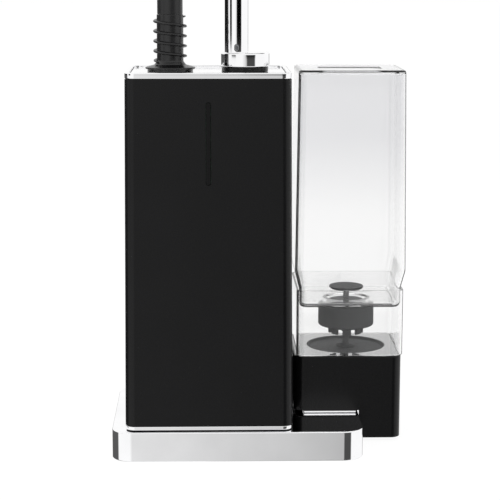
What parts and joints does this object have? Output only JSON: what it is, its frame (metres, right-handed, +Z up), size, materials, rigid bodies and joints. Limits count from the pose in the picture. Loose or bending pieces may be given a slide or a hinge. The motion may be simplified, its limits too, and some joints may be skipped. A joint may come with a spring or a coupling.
{
  "type": "upright garment steamer",
  "caption": "Upright garment steamer: black boiler housing on a chrome base, clear lift-off water tank, telescopic pole, hung hose coil and steam head.",
  "frame": {"origin": "middle of the footprint of the base and dock, on the surface that the feet stand on", "axes": "+Z up, -Y out of the front with the control strip, +X towards the water tank"},
  "size_m": [0.3024, 0.168, 0.7995],
  "materials": {
    "chrome": "polished plating",
    "steel": "satin",
    "aluminium": "as cast",
    "black_plastic": "satin moulded",
    "gloss_black": "gloss",
    "grey_plastic": "fine texture",
    "rubber": "matt",
    "clear_plastic": "polished clear",
    "board": "lacquered"
  },
  "bodies": {
    "root": {"base_plate": "chrome", "base_cover": "black_plastic", "base_screw_1": "steel", "base_screw_2": "steel", "base_screw_3": "steel", "base_screw_4": "steel", "foot_1": "rubber", "foot_2": "rubber", "foot_3": "rubber", "foot_4": "rubber", "lower_trim_ring": "chrome", "housing": "black_plastic", "upper_trim_ring": "chrome", "top_cover": "chrome", "control_strip": "gloss_black", "control_board": "board", "chassis": "steel", "boiler": "aluminium", "boiler_lid": "aluminium", "heating_element": "steel", "thermostat": "steel", "pump": "black_plastic", "feed_pipe": "rubber", "boiler_pipe": "rubber", "steam_pipe": "rubber", "power_inlet": "black_plastic", "hose_boot": "rubber", "hose_kink_guard": "rubber", "steam_hose": "rubber", "hose_coil": "rubber", "pole_socket": "black_plastic", "pole_collar": "chrome", "pole_lower": "chrome", "lock_button_spring": "steel", "hose_saddle": "black_plastic", "head_cradle": "black_plastic", "hose_swivel": "black_plastic", "head_handle": "black_plastic", "head_body": "black_plastic", "steam_plate": "steel", "tank_dock": "black_plastic", "dock_trim": "chrome", "dock_foot_1": "rubber", "dock_foot_2": "rubber", "well_cup": "grey_plastic", "valve_pin": "grey_plastic", "dock_sleeve": "clear_plastic"},
    "tank": {"water_tank": "clear_plastic"},
    "cap": {"tank_cap": "grey_plastic", "cap_seal": "rubber", "valve_spring": "steel"},
    "valve": {"tank_valve": "grey_plastic"},
    "pole_mid": {"pole_mid": "chrome"},
    "pole_upper": {"pole_upper": "chrome", "pole_top_cap": "black_plastic"},
    "lower_lock": {"lower_lock_ring": "black_plastic"},
    "mid_lock": {"mid_lock_ring": "black_plastic"},
    "lock_button": {"pole_lock_button": "steel"},
    "trigger": {"steam_trigger": "grey_plastic"}
  },
  "joints": [
    {"name": "tank_lift", "type": "slide", "parent": "root", "child": "tank", "axis": [0, 0, 1], "range_m": [0, 0.08]},
    {"name": "cap_twist", "type": "hinge", "parent": "tank", "child": "cap", "pos_m": [0.0856, 0.0315, 0.118], "axis": [0, 0, -1], "range_deg": [0, 90]},
    {"name": "valve_slide", "type": "slide", "parent": "cap", "child": "valve", "axis": [0, 0, 1], "range_m": [0, 0.004], "stiffness_N_per_m": 150, "springref_m": -0.008, "deforming": ["valve_spring"]},
    {"name": "pole_mid_slide", "type": "slide", "parent": "root", "child": "pole_mid", "axis": [0, 0, 1], "range_m": [0, 0.28]},
    {"name": "lower_lock_twist", "type": "hinge", "parent": "root", "child": "lower_lock", "pos_m": [-0.0226, -0.025, 0.73], "axis": [0, 0, 1], "range_deg": [0, 60]},
    {"name": "pole_upper_slide", "type": "slide", "parent": "pole_mid", "child": "pole_upper", "axis": [0, 0, 1], "range_m": [0, 0.28]},
    {"name": "mid_lock_twist", "type": "hinge", "parent": "pole_mid", "child": "mid_lock", "pos_m": [-0.0226, -0.025, 0.757], "axis": [0, 0, 1], "range_deg": [0, 60]},
    {"name": "lock_button_press", "type": "slide", "parent": "root", "child": "lock_button", "axis": [0, 1, 0], "range_m": [0, 0.0024], "stiffness_N_per_m": 400, "springref_m": -0.004, "deforming": ["lock_button_spring"]},
    {"name": "trigger_press", "type": "slide", "parent": "root", "child": "trigger", "axis": [0, 1, 0], "range_m": [0, 0.003], "stiffness_N_per_m": 300, "springref_m": -0.004}
  ]
}
